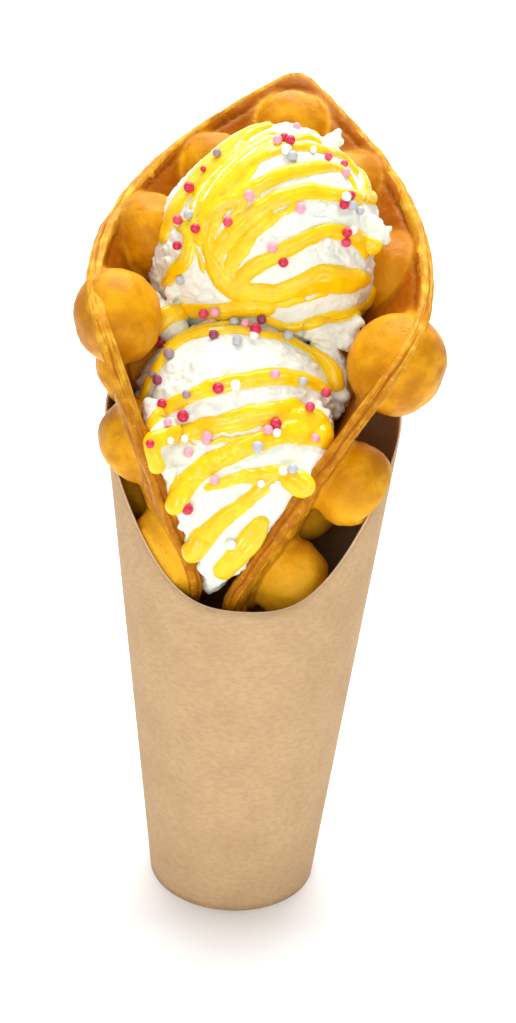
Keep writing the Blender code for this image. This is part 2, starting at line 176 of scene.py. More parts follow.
# Cream scoops, as in the solids but for the tip of the tail, which is finer.
UPPER_C = (1.2, 13.0, 197.0)
UPPER_R = (30.0, 27.0, 29.5, 33.0)
UPPER_FORM = (0.24, 0.35, 4.0)
LOWER_C = (-5.6, -5.0, 149.3)
LOWER_R = (27.6, 26.0, 26.5, 26.5)
LOWER_FORM = (0.0, 0.0, 0.0)
TAPER_POWER = 2.2
CREAM_BUMP = 0.23
BUMP_WAVES = 9
BUMP_COARSEST = 3.0
UPPER_SEED = 1
LOWER_SEED = 2
TAIL_TOP = (-5.2, -9.5, 144.0)
TAIL_TIP = (-9.4, -26.5, 104.5)
TAIL_R = 19.0
TAIL_TIP_R = 1.4
TAIL_TAPER = 0.8
TAIL_STEPS = 14

# Grain of the cream and the sauce.
CREAM_VOXEL = 0.55
CREAM_SOFTEN = 3
FOLDS = 1.9
FOLD_LEVEL = 0.25
FOLD_BEND = 2.2
FOLD_STRETCH = 1.8
CRAG = 0.95
CRAG_LEVEL = 0.5
FLUFF = 0.16
CALM_LEAST = 0.4
COVERED_SMOOTH = 0.9
SAUCE_VOXEL = 0.45
SAUCE_HIGH = 1.2
SAUCE_UNEVEN = 0.3
SAUCE_FLAT = 2.1
SAUCE_SUNK = 0.9
SAUCE_EDGE = 0.5
SAUCE_SPREAD = 1.38
SAUCE_RAGGED = 0.45
SAUCE_STEEP = 0.7
SAUCE_SKIRT = 0.3
CREAM_CALM = 0.9
GLAZE_HIGH = 0.45
GLAZE_STRAND = 3.2
GLAZE_GAP = 1.0
GLAZE_FULL = 0.55
GLAZE_SHARP = 2.0
STRAND = 1.4
STRAND_DEEP = 0.07
STRAND_DRIFT = 2.2
STROKE_STEPS = 4
BACK_STEPS = 5
FAR = 9.0

# Noises: size of the lumps in mm, octaves, and a shift that sets each apart.
NOISES = {
    "swell": (9.0, 2, 0.0),
    "pit": (2.2, 3, 7.0),
    "wrinkle": (6.5, 3, 3.0),
    "crease": (16.0, 2, 11.0),
    "rim_ragged": (6.0, 3, 0.0),
    "rim_half": (11.0, 3, 5.0),
    "rim_sway": (14.0, 2, 9.0),
    "groove_middle": (13.0, 2, 15.0),
    "groove_left": (9.0, 2, 19.0),
    "groove_right": (9.0, 2, 23.0),
    "streak": (1.0, 4, 31.0),
    "bend": (7.0, 2, 3.0),
    "fold": (8.0 / FOLD_STRETCH, 3, 2.0),
    "crag": (4.0, 4, 12.0),
    "calm": (15.0, 2, 31.0),
    "fluff": (1.2, 3, 17.0),
    "sauce_ragged": (4.5, 4, 41.0),
    "sauce_swell": (6.0, 2, 47.0),
    "strand_drift": (6.0, 2, 53.0),
    "strand_shown": (9.0, 2, 59.0),
}
BEND_APART = 40.0

# Nubs of cream that stand out of the scoops: photo x and y, depth y in mm,
# and radius in mm.
UPPER_NUBS = (
    (333, 139, 14, 2.3), (338, 133, 14, 1.4), (329, 147, 12, 2.6), (341, 143, 15, 1.2),
    (371, 226, 4, 3.0), (377, 234, 4, 2.6), (383, 232, 5, 1.9), (389, 229, 6, 1.1), (385, 239, 4, 1.5),
    (372, 243, 2, 2.8), (155, 300, -2, 2.2), (149, 306, -4, 1.2), (151, 313, -4, 1.4),
    (352, 330, -4, 2.6), (358, 322, -3, 2.0), (346, 343, -6, 2.4), (172, 292, -4, 2.2),
    (170, 323, -3, 4.8), (175, 332, -3, 4.4), (167, 316, -3, 4.2),
)
LOWER_NUBS = (
    (338, 391, -7, 2.3), (341, 400, -7, 2.2), (337, 409, -8, 2.2), (325, 424, -20, 2.6),
)

# Ridges and tongues of cream, with stations like the nubs. Some run out over
# the waffle's edge.
UPPER_RIDGES = (
    ((316, 330, -6, 3.4), (330, 334, -4, 3.8), (344, 330, -2, 3.4), (354, 322, 0, 2.6)),
)
LOWER_RIDGES = (
    ((322, 350, -3, 4.0), (331, 364, -4, 4.2), (335, 378, -6, 3.8), (339, 392, -8, 2.8)),
    ((151, 408, -25, 2.6), (156, 428, -28, 2.8), (160, 446, -30, 2.8), (164, 464, -31, 2.8),
     (172, 484, -32, 2.8), (180, 502, -32.5, 2.6), (188, 522, -33, 2.6), (196, 545, -33, 2.6)),
    ((321, 425, -20, 3.6), (319, 440, -25, 3.4), (315, 456, -29, 3.2), (309, 470, -31.5, 3.0)),
    ((166, 430, -30, 3.2), (158, 440, -32.5, 3.0), (155, 452, -34.2, 2.7), (157, 464, -34.8, 2.3)),
    ((188, 488, -31, 3.4), (181, 497, -33.8, 2.8), (175, 505, -35.2, 2.1)),
    ((206, 536, -32, 3.4), (199, 543, -34, 3.0), (192, 551, -35, 2.6)),
    ((288, 477, -31, 4.0), (298, 481, -33.5, 3.6), (305, 486, -34.2, 3.0)),
    ((227, 567, -32, 2.4), (238, 556, -32.5, 2.8), (249, 542, -33, 3.0), (257, 530, -33, 2.8)),
)
RIDGE_STEPS = 8

# Rows of cream that fill the front of the fold: photo y, first and last x,
# depth and radius. A row bows back towards its ends.
LOWER_ROWS = (
    (428, 168, 310, -24.5, 6.0), (452, 174, 304, -27.5, 6.0), (478, 184, 294, -30.0, 5.6),
    (504, 194, 270, -31.5, 5.0), (530, 204, 250, -32.0, 4.4), (552, 209, 240, -32.0, 3.4),
    (570, 211, 226, -31.5, 2.4), (586, 210, 211, -31.0, 1.2),
)
ROW_STEPS = 3
ROW_PITCH = 11.0
ROW_BOW = 4.0
ROW_HALF = 72.0

# Sauce strokes as photo x, y and width.
UPPER_SAUCE = (
    ((266, 126, 10), (247, 133, 18), (229, 146, 24), (212, 163, 26), (196, 180, 24), (181, 200, 20),
     (170, 219, 16), (165, 234, 15)),
    ((354, 170, 9), (342, 157, 8), (318, 149, 9), (290, 147, 10), (268, 153, 12), (248, 163, 14),
     (234, 178, 14), (218, 192, 13), (205, 212, 12)),
    ((359, 203, 6), (354, 186, 6), (342, 169, 7), (322, 167, 10), (300, 170, 12), (278, 176, 12),
     (256, 187, 13), (238, 198, 13), (218, 208, 12), (205, 222, 11), (200, 240, 9)),
    ((373, 197, 11), (358, 196, 9), (338, 194, 10), (312, 191, 12), (288, 195, 13), (266, 205, 14),
     (246, 220, 13), (228, 236, 12), (218, 252, 11), (216, 268, 10)),
    ((270, 214, 6), (254, 232, 8), (240, 248, 9), (230, 264, 9), (226, 274, 8)),
    ((371, 249, 17), (352, 236, 12), (330, 231, 11), (308, 238, 12), (288, 249, 12), (270, 259, 12),
     (254, 268, 12), (242, 278, 12)),
    ((203, 205, 7), (203, 226, 8), (208, 248, 8), (212, 268, 9), (222, 284, 11), (238, 293, 14),
     (256, 297, 15), (272, 295, 16)),
    ((214, 222, 6), (210, 240, 7), (217, 262, 8), (228, 277, 9), (240, 287, 9)),
    ((250, 292, 14), (276, 294, 15), (300, 286, 17), (322, 279, 22), (346, 281, 20), (366, 279, 11)),
    ((185, 228, 8), (189, 244, 10), (186, 258, 12), (176, 270, 11), (166, 284, 8)),
    ((156, 325, 16), (168, 314, 14), (190, 311, 13), (218, 312, 14), (246, 309, 15), (268, 309, 12)),
    ((262, 318, 7), (288, 327, 8), (310, 324, 9), (332, 317, 9), (352, 313, 10), (368, 303, 12),
     (372, 292, 10)),
    ((292, 140, 5), (306, 137, 7), (318, 141, 6)),
)
LOWER_SAUCE = (
    ((140, 415, 11), (143, 398, 9), (153, 376, 9), (163, 358, 9), (179, 342, 9), (202, 333, 9),
     (232, 330, 9), (260, 334, 9), (284, 338, 9), (304, 348, 9), (322, 358, 10), (332, 370, 12),
     (337, 384, 12)),
    ((166, 346, 5), (184, 334, 6), (208, 326, 6), (236, 322, 5)),
    ((150, 428, 8), (160, 413, 9), (184, 399, 11), (212, 387, 12), (246, 380, 13), (280, 376, 13),
     (308, 381, 11), (326, 389, 9)),
    ((152, 440, 14), (170, 436, 14), (190, 431, 13), (212, 425, 13), (242, 417, 14), (270, 412, 14),
     (296, 411, 18), (316, 420, 20), (326, 433, 18)),
    ((175, 505, 18), (182, 489, 17), (200, 470, 16), (226, 456, 15), (252, 445, 14), (274, 436, 14),
     (298, 432, 18), (322, 436, 20)),
    ((208, 488, 6), (230, 481, 8), (256, 476, 10), (280, 475, 13), (294, 480, 21), (302, 486, 22)),
    ((153, 441, 14), (153, 450, 12), (155, 459, 11), (157, 467, 12)),
    ((194, 552, 21), (201, 541, 19), (218, 524, 14), (240, 507, 12), (258, 492, 10), (272, 482, 8)),
    ((223, 571, 15), (234, 559, 17), (246, 547, 19), (255, 535, 20), (260, 525, 14)),
)

# Thin streaky sauce between the strokes, as photo x, y and width.
UPPER_GLAZE = (
    ((270, 138, 24), (248, 151, 36), (228, 170, 44), (211, 192, 42), (203, 218, 30)),
    ((246, 196, 22), (230, 218, 30), (220, 242, 26), (220, 266, 22), (234, 286, 20)),
    ((296, 200, 12), (268, 216, 18), (246, 238, 20), (236, 262, 16)),
    ((176, 222, 10), (190, 232, 12), (200, 250, 10), (204, 268, 8)),
    ((330, 288, 10), (296, 298, 12), (262, 304, 12), (236, 302, 8)),
)
LOWER_GLAZE = (
    ((196, 436, 14), (224, 430, 18), (256, 424, 18), (290, 424, 16)),
    ((236, 478, 8), (262, 472, 12), (290, 472, 12)),
)

# Strokes behind the upper scoop, which the photo doesn't show: half-width,
# then (azimuth, elevation) stations from the scoop's centre.
BACK_SAUCE = (
    (2.4, (82, 26), (100, 34), (125, 40), (155, 42)),
    (2.4, (-105, 50), (-130, 48), (-165, 40)),
    (2.2, (115, 66), (150, 60), (190, 58), (225, 62)),
)

# Sugar pearls: colour, then photo x, y and width of each one on the upper
# and on the lower scoop.
PEARLS = {
    "crimson": (
        (0.62, 0.004, 0.055),
        ((191, 189, 11), (198, 229, 10), (177, 248, 9), (284, 141, 10), (290, 143, 10), (283, 262, 10),
         (349, 195, 9), (342, 204, 10), (345, 232, 10), (204, 170, 6)),
        ((247, 317, 12), (255, 331, 12), (218, 388, 12), (184, 417, 12), (159, 405, 10), (275, 424, 12),
         (151, 444, 9), (188, 508, 12)),
    ),
    "rose": (
        (0.72, 0.055, 0.13),
        ((228, 222, 10), (180, 221, 10), (327, 158, 8), (342, 164, 8), (344, 242, 10), (205, 312, 10)),
        ((160, 340, 11), (309, 409, 10), (319, 471, 10), (324, 391, 10)),
    ),
    "plum": (
        (0.32, 0.045, 0.1),
        ((261, 317, 10),),
        ((215, 336, 10), (160, 381, 10)),
    ),
    "pale_pink": (
        (0.87, 0.38, 0.48),
        ((295, 128, 8), (278, 143, 10), (249, 196, 11), (298, 206, 11), (344, 174, 9), (274, 250, 10),
         (216, 311, 10)),
        ((245, 326, 9), (274, 375, 10), (168, 423, 9), (268, 432, 10), (207, 441, 10), (208, 434, 10),
         (190, 453, 10), (316, 439, 9), (216, 482, 9)),
    ),
    "white": (
        (0.88, 0.86, 0.8),
        ((285, 150, 11), (344, 197, 10), (351, 231, 9), (326, 239, 10), (312, 149, 7)),
        ((254, 338, 10), (235, 385, 11), (277, 434, 9), (185, 438, 8), (169, 440, 7), (261, 485, 8),
         (272, 487, 9), (277, 483, 8), (285, 472, 10), (231, 543, 11)),
    ),
    "grey": (
        (0.5, 0.52, 0.56),
        ((292, 159, 11), (350, 206, 11), (358, 212, 9), (191, 216, 10), (182, 280, 9)),
        ((234, 325, 10), (237, 341, 10), (286, 337, 10), (301, 381, 10), (257, 447, 12),
         (293, 471, 11)),
    ),
    "lilac": (
        (0.36, 0.25, 0.3),
        ((218, 155, 9),),
        ((171, 356, 11), (153, 375, 7), (188, 395, 9)),
    ),
}
PEARL_SIT = 0.7

# Lamps: name, place, target, size in mm, and power in watts.
WORLD_LIGHT = 0.45
LAMPS = (
    ("key", (-260.0, -830.0, 500.0), (0.0, 0.0, 140.0), 450.0, 1.95),
    ("front", (230.0, -880.0, 150.0), (0.0, 0.0, 110.0), 500.0, 2.1),
    ("backdrop", (0.0, 500.0, 2200.0), (0.0, 1700.0, 300.0), 1500.0, 75.0),
)


def poly(coeffs, q):
    """Value of a polynomial with rising powers."""
    total = 0.0 * q
    for c in reversed(coeffs):
        total = total * q + c
    return total


def smoothstep(x):
    """Smooth ramp from 0 to 1 as x goes from 0 to 1."""
    x = np.clip(x, 0.0, 1.0)
    return x * x * (3.0 - 2.0 * x)


def wrap(u, v):
    """Folded place of the flat points (u, v), as an array of x, y, z."""
    u = np.asarray(u, float)
    v = np.asarray(v, float)
    q = v / PEAK_V
    reach = np.abs(u)
    fold = poly(FOLD, q)
    squeeze = poly(SQUEEZE, q)
    far = CORNER_U + MARGIN
    bend = (poly(TURN, q) - fold) / far
    x = 0.0 * u
    y = 0.0 * u
    for node, weight in zip(*np.polynomial.legendre.leggauss(FOLD_SAMPLES)):
        s = reach * (node + 1.0) / 2.0
        heading = fold * (1.0 - np.exp(-s / FOLD_LENGTH))
        heading = heading + bend * s * (1.0 + poly(EARLY, q) * (1.0 - s / far))
        free = smoothstep((s - FREE_FROM) / FREE_OVER)
        step = weight / 2.0 * reach * (squeeze + (1.0 - squeeze) * free)
        x = x + step * np.cos(heading)
        y = y + step * np.sin(heading)
    sag = poly(EDGE_SAG, q) * (reach / CORNER_U) ** SAG_POWER
    place = (np.sign(u) * x + poly(SPINE_X, q), poly(SPINE_Y, q) - y,
             poly(HEIGHT, q) + sag - TILT * u)
    return np.stack(place, -1)


def unit(vectors):
    """Vectors scaled to length 1."""
    return vectors / np.linalg.norm(vectors, axis=-1, keepdims=True)


def sheet_steps(u, v):
    """Steps across and up the folded sheet, for twice NUDGE of the flat one."""
    return wrap(u + NUDGE, v) - wrap(u - NUDGE, v), wrap(u, v + NUDGE) - wrap(u, v - NUDGE)


def sheet_frame(u, v):
    """Unit vectors across, up and out of the folded sheet at (u, v)."""
    across, up = sheet_steps(u, v)
    out = unit(np.cross(up, across))
    up = unit(up - out * np.sum(up * out, axis=-1, keepdims=True))
    return np.cross(up, out), up, out


def lattice():
    """(column, place, u, v) of each bubble on the flat sheet."""
    spots = []
    for column in range(-OUTER_COLUMN, OUTER_COLUMN + 1):
        count = LONGEST_COLUMN - abs(column)
        for place in range(count):
            v = PITCH * (place - (count - 1) / 2.0)
            spots.append((column, place, COLUMN * column, v))
    return spots


def hexagon_distance(x, y):
    """Distance from flat points to the hexagon of the corner bubbles."""
    x = np.abs(x)
    y = np.abs(y)
    edge = np.array((-CORNER_U, PEAK_V - CORNER_V))
    along = ((x - CORNER_U) * edge[0] + (y - CORNER_V) * edge[1]) / (edge @ edge)
    along = np.clip(along, 0.0, 1.0)
    slant = np.hypot(x - CORNER_U - along * edge[0], y - CORNER_V - along * edge[1])
    height = ((x - CORNER_U) * edge[1] - (y - CORNER_V) * edge[0]) / np.hypot(*edge)
    beside = np.where(y < CORNER_V, x - CORNER_U, slant)
    return np.where((height <= 0.0) & (x <= CORNER_U), 0.0, beside)


def sheet_reach(angles, margin):
    """Distance from the flat sheet's centre to its rounded edge."""
    low = np.zeros_like(angles)
    high = low + CORNER_U + PEAK_V
    for _ in range(HALVINGS):
        middle = (low + high) / 2.0
        inside = hexagon_distance(np.cos(angles) * middle, np.sin(angles) * middle) < margin
        low = np.where(inside, middle, low)
        high = np.where(inside, high, middle)
    return low


def sheet_edge(count, inset):
    """Flat places u and v round the sheet, at an inset from its edge."""
    angles = 2.0 * np.pi * np.arange(count) / count
    reach = sheet_reach(angles, MARGIN - inset)
    return reach * np.cos(angles), reach * np.sin(angles)


def lip_height(angle):
    """Height of the cup's cut edge; the angle is from the front, in radians."""
    h = (np.abs(np.degrees(angle)) / LIP_TURN) ** LIP_POWER
    return LIP_FRONT + LIP_RISE * h / (1.0 + h)


def cup_radius(z):
    """Outer radius of the cup at a height."""
    return CUP_BASE_R + CUP_FLARE * z


def bubble_places():
    """Centre, radius, flatness and frame of each bubble, as in the solids."""
    dice = random.Random(SEED)
    spots = lattice()
    u = np.array([spot[2] for spot in spots])
    v = np.array([spot[3] for spot in spots])
    centres = wrap(u, v)
    frames = sheet_frame(u, v)
    places = []
    for i, spot in enumerate(spots):
        wobble = dice.uniform(-HIDDEN_UNEVEN, HIDDEN_UNEVEN)
        flat = dice.uniform(*BUBBLE_FLAT)
        centre = centres[i].copy()
        if spot[:2] in SHOWN:
            centre += SHOWN[spot[:2]][:3]
            radius = SHOWN[spot[:2]][3]
        else:
            nearest = np.sort(np.linalg.norm(centres - centres[i], axis=1))[1]
            radius = min(HIDDEN_R, CROWDED * nearest) + wobble
        places.append((centre, radius, flat, [axes[i] for axes in frames]))
    return places


def add_object(name, data):
    """New object in the scene."""
    obj = bpy.data.objects.new(name, data)
    bpy.context.scene.collection.objects.link(obj)
    return obj


def mesh_object(name, work):
    """New object from a bmesh in mm, which is freed."""
    bmesh.ops.scale(work, vec=(MM, MM, MM), verts=work.verts)
    bmesh.ops.recalc_face_normals(work, faces=work.faces)
    mesh = bpy.data.meshes.new(name)
    work.to_mesh(mesh)
    work.free()
    return add_object(name, mesh)


def bridge(work, rows):
    """Faces between neighbouring closed rows of vertices."""
    for near, far in zip(rows, rows[1:]):
        for j in range(len(near)):
            k = (j + 1) % len(near)
            work.faces.new((near[j], near[k], far[k], far[j]))


def swap_mesh(obj, mesh):
    """Give an object another mesh in place of its own."""
    old = obj.data
    obj.data = mesh
    bpy.data.meshes.remove(old)


def apply_modifiers(obj):
    """Replace an object's mesh by the one that its modifiers make."""
    bpy.context.view_layer.update()
    graph = bpy.context.evaluated_depsgraph_get()
    mesh = bpy.data.meshes.new_from_object(obj.evaluated_get(graph))
    obj.modifiers.clear()
    swap_mesh(obj, mesh)


def remesh(obj, voxel, soften):
    """Melt overlapping shells into one skin and soften its creases."""
    grid = obj.modifiers.new("skin", "REMESH")
    grid.mode = "VOXEL"
    grid.voxel_size = voxel * MM
    soft = obj.modifiers.new("soften", "SMOOTH")
    soft.factor = 0.5
    soft.iterations = soften
    apply_modifiers(obj)


def cut(obj, other):
    """Take another closed piece out of this one."""
    mod = obj.modifiers.new("cut", "BOOLEAN")
    mod.operation = "DIFFERENCE"
    mod.solver = "MANIFOLD"
    mod.object = other
    apply_modifiers(obj)


def points_of(mesh):
    """Vertices in mm and their normals, as arrays."""
    points = np.empty(len(mesh.vertices) * 3)
    mesh.vertices.foreach_get("co", points)
    normals = np.empty(len(mesh.vertices) * 3)
    mesh.vertex_normals.foreach_get("vector", normals)
    return points.reshape(-1, 3) / MM, normals.reshape(-1, 3)


def set_points(mesh, points):
    """Move a mesh's vertices to these places in mm."""
    mesh.vertices.foreach_set("co", (points * MM).ravel())
    mesh.update()


def set_field(mesh, name, values):
    """Store one number for each vertex, for a material to read."""
    field = mesh.attributes.new(name, "FLOAT", "POINT")
    field.data.foreach_set("value", np.asarray(values, np.float32))


def noise_places(points, name, apart=0.0):
    """Octaves of a noise, and the places at which it is read for each point."""
    size, octaves, shift = NOISES[name]
    offset = Vector((shift + apart, shift + apart, shift + apart))
    return octaves, [Vector(p) + offset for p in points / size]


def noise_field(points, name, apart=0.0):
    """Fractal noise of about -1 to 1 at each point."""
    octaves, places = noise_places(points, name, apart)
    return np.array([noise.fractal(place, 1.0, 2.0, octaves) for place in places])


def ridge_field(points, name):
    """Ridged noise of about 0 to 1 at each point."""
    octaves, places = noise_places(points, name)
    ridges = [noise.ridged_multi_fractal(place, 1.0, 2.1, octaves, 1.0, 1.7) for place in places]
    return np.clip(np.array(ridges) / 2.2, 0.0, 1.2)


def drop_scraps(obj):
    """Keep only the largest of the bodies that a cut leaves."""
    work = bmesh.new()
    work.from_mesh(obj.data)
    left = set(work.verts)
    bodies = []
    while left:
        stack = [left.pop()]
        body = []
        while stack:
            vert = stack.pop()
            body.append(vert)
            for edge in vert.link_edges:
                other = edge.other_vert(vert)
                if other in left:
                    left.remove(other)
                    stack.append(other)
        bodies.append(body)
    bodies.sort(key=len)
    for body in bodies[:-1]:
        bmesh.ops.delete(work, geom=body, context="VERTS")
    work.to_mesh(obj.data)
    work.free()


def make_camera():
    """Camera at the photo's viewpoint; returns its place and axes."""
    tilt = math.radians(ELEVATION)
    roll = math.radians(ROLL)
    back = Vector((0.0, -math.cos(tilt), math.sin(tilt)))
    level = Vector((1.0, 0.0, 0.0))
    rise = back.cross(level)
    right = level * math.cos(roll) + rise * math.sin(roll)
    up = rise * math.cos(roll) - level * math.sin(roll)
    eye = Vector(TARGET) + back * DISTANCE
    data = bpy.data.cameras.new("photo_camera")
    data.sensor_width = SENSOR
    data.lens = FOCAL_PX * SENSOR / max(PHOTO_SIZE)
    data.clip_start = 0.01
    camera = add_object("photo_camera", data)
    turn = Matrix((right, up, back)).transposed().to_4x4()
    camera.matrix_world = Matrix.Translation(eye * MM) @ turn
    bpy.context.scene.camera = camera
    return eye, right, up, back


class Photo:
    """The camera's rays through the photo's pixels."""

    def __init__(self, eye, right, up, back):
        self.eye = eye
        self.axes = (right, up, back)

    def ray(self, x, y):
        """Direction through a pixel."""
        right, up, back = self.axes
        side = (x - PHOTO_SIZE[0] / 2.0) / FOCAL_PX
        rise = (PHOTO_SIZE[1] / 2.0 - y) / FOCAL_PX
        return (right * side + up * rise - back).normalized()

    def mm_per_pixel(self, point):
        """Size of a pixel at a point's distance."""
        return (self.eye - point).dot(self.axes[2]) / FOCAL_PX

    def at_depth(self, x, y, depth):
        """Point behind a pixel whose y coordinate is given."""
        way = self.ray(x, y)
        return self.eye + way * ((depth - self.eye.y) / way.y)

    def land(self, x, y, scoop):
        """Where a pixel's ray meets a scoop, or passes closest to it."""
        way = self.ray(x, y)
        place, normal, _, _ = scoop.tree.ray_cast(self.eye, way)
        if place is None:
            beside = self.eye + way * (scoop.centre - self.eye).dot(way)
            place, normal, _, _ = scoop.tree.find_nearest(beside)
        return place, normal


def make_waffle():
    """Sheet and bubbles melted into one crust with its relief."""
    u, v = sheet_edge(WEB_SEGS, WEB_SHORT)
    work = bmesh.new()
    rings = []
    for i in range(1, WEB_RINGS + 1):
        share = i / WEB_RINGS
        rings.append([work.verts.new(place) for place in wrap(share * u, share * v)])
    centre = work.verts.new(wrap(0.0, 0.0))
    for j in range(WEB_SEGS):
        k = (j + 1) % WEB_SEGS
        work.faces.new((centre, rings[0][j], rings[0][k]))
        for inner, outer in zip(rings, rings[1:]):
            work.faces.new((inner[j], outer[j], outer[k], inner[k]))
    waffle = mesh_object("crust", work)
    sheet = waffle.modifiers.new("sheet", "SOLIDIFY")
    sheet.thickness = WEB_THICK * MM
    sheet.offset = 0.0
    apply_modifiers(waffle)

    bubbles = bubble_places()
    balls = bmesh.new()
    for centre, radius, flat, (across, up, out) in bubbles:
        axes = (across * radius, up * radius, out * radius * flat)
        place = Matrix(axes).transposed().to_4x4()
        place.translation = Vector(centre)
        bmesh.ops.create_uvsphere(balls, u_segments=BUBBLE_GRID[0],
                                  v_segments=BUBBLE_GRID[1], radius=1.0, matrix=place)
    puffs = mesh_object("puffs", balls)
    work = bmesh.new()
    work.from_mesh(waffle.data)
    work.from_mesh(puffs.data)
    work.to_mesh(waffle.data)
    work.free()
    bpy.data.objects.remove(puffs)
    remesh(waffle, CRUST_VOXEL, CRUST_SOFTEN)
    add_crust_relief(waffle.data, bubbles)
    return waffle


def along_axis(offset, step, nearest):
    """How far offsets reach along a sheet's axis, in mm of the flat sheet."""
    step = step / (2.0 * NUDGE)
    return np.sum(offset * step[nearest], axis=1) / np.sum(step * step, axis=1)[nearest]


def add_crust_relief(mesh, bubbles):
    """Swellings, pits and wrinkles, and the fields that colour the crust."""
    points, normals = points_of(mesh)
    nearness = np.full(len(points), FAR)
    height = np.zeros(len(points))
    for centre, radius, _, (_, _, out) in bubbles:
        away = points - centre
        ratio = np.linalg.norm(away, axis=1) / radius
        closer = ratio < nearness
        nearness = np.where(closer, ratio, nearness)
        height = np.where(closer, away @ out, height)

    grid = np.arange(-CORNER_U - MARGIN, CORNER_U + MARGIN, SAMPLE_STEP)
    u, v = (axis.ravel() for axis in np.meshgrid(grid, grid))
    keep = hexagon_distance(u, v) < MARGIN
    u = u[keep]
    v = v[keep]
    samples = wrap(u, v)
    out = sheet_frame(u, v)[2]
    tree = KDTree(len(samples))
    for i, sample in enumerate(samples):
        tree.insert(sample, i)
    tree.balance()
    nearest = np.array([tree.find(p)[1] for p in points])
    offset = points - samples[nearest]
    off_sheet = np.sum(offset * out[nearest], axis=1)
    across, up = sheet_steps(u, v)
    near_u = u[nearest] + along_axis(offset, across, nearest)
    near_v = v[nearest] + along_axis(offset, up, nearest)
    to_edge = MARGIN - hexagon_distance(near_u, near_v)
    height = np.where(nearness < BALL_END, height, off_sheet)

    web = smoothstep((nearness - WEB_FROM) / WEB_OVER)
    inside = 1.0 - smoothstep((height + INSIDE_BAND / 2.0) / INSIDE_BAND)
    wander = CREASE_WANDER * noise_field(points, "crease")
    crease = web * np.exp(-((to_edge - CREASE_IN + wander) / CREASE_WIDE) ** 2)
    relief = SWELL * noise_field(points, "swell")
    relief += PIT * noise_field(points, "pit")
    relief -= WRINKLE * web * (ridge_field(points, "wrinkle") - WRINKLE_LEVEL)
    relief -= CREASE_DEEP * crease
    relief *= smoothstep((to_edge - CALM_EDGE) / CALM_EDGE)
    points = points + normals * relief[:, None]

    room = cup_radius(points[:, 2]) - CUP_WALL - GAP
    turn = np.arctan2(points[:, 0], -points[:, 1])
    above = points[:, 2] - lip_height(turn) - LIP_CLEAR
    room = room + LIP_SLOPE * np.maximum(0.0, above)
    share = np.minimum(1.0, room / np.maximum(np.hypot(points[:, 0], points[:, 1]), 1.0))
    points[:, :2] *= share[:, None]
    set_points(mesh, points)
    set_field(mesh, "inside", inside)
    set_field(mesh, "web", web)
    set_field(mesh, "crease", crease)


def make_rim():
    """Baked edge of the sheet, lofted round it, with grooves and streaks."""
    u, v = sheet_edge(RIM_STEPS, 0.0)
    edge = wrap(u, v)
    outward = unit(edge - wrap(*sheet_edge(RIM_STEPS, RIM_OUTWARD)))
    normal = sheet_frame(u, v)[2]
    flat = np.stack((u, v, 0.0 * u), -1)
    ragged = RIM_RAGGED * noise_field(flat, "rim_ragged")
    half = RIM_HALF * (1.0 + RIM_UNEVEN * noise_field(flat, "rim_half"))
    sway = RIM_SWAY * noise_field(flat, "rim_sway")
    grooves = []
    for name, middle, wide, depth, often in GROOVES:
        seen = smoothstep(often + GROOVE_SHARP * noise_field(flat, name))
        grooves.append((sway + middle, wide, depth * seen))

    rows = []
    hollows = []
    streaks = []
    for k in range(RIM_ACROSS + 1):
        t = 2.0 * k / RIM_ACROSS - 1.0
        hollow = sum(depth * np.exp(-((t - middle) / wide) ** 2)
                     for middle, wide, depth in grooves)
        streak = noise_field(flat * STREAK_STRETCH + (0.0, 0.0, STREAKS_ACROSS * t), "streak")
        high = ragged + RIM_STREAK * streak - RIM_DEPTH * abs(t) ** 3 - RIM_GROOVE * hollow
        rows.append(edge + outward * high[:, None] + normal * (half * t)[:, None])
        hollows.append(hollow)
        streaks.append(0.5 + 0.5 * streak)
    for side in (RIM_ROOT_HALF, -RIM_ROOT_HALF):
        rows.append(edge - outward * RIM_ROOT + normal * (side * RIM_HALF))
        hollows.append(0.0 * ragged)
        streaks.append(0.5 + 0.0 * ragged)

    work = bmesh.new()
    verts = [[work.verts.new(place) for place in row] for row in rows]
    bridge(work, verts + verts[:1])
    rim = mesh_object("crust_rim", work)
    set_field(rim.data, "groove", np.concatenate(hollows))
    set_field(rim.data, "streak", np.concatenate(streaks))
    return rim


def make_cup():
    """Card cup with a lighter cut edge."""
    work = bmesh.new()
    turns = 2.0 * np.pi * np.arange(CUP_SEGS) / CUP_SEGS - np.pi
    rows = []
    for i in range(CUP_ROWS + 1):
        row = []
        for turn in turns:
            z = lip_height(turn) * i / CUP_ROWS
            r = cup_radius(z)
            row.append(work.verts.new((r * math.sin(turn), -r * math.cos(turn), z)))
        rows.append(row)
    bridge(work, rows)
    work.faces.new(rows[0])
    cup = mesh_object("card_cup", work)
    shell = cup.modifiers.new("card", "SOLIDIFY")
    shell.thickness = CUP_WALL * MM
    shell.offset = -1.0
    shell.use_even_offset = True
    shell.material_offset_rim = 1
    return cup


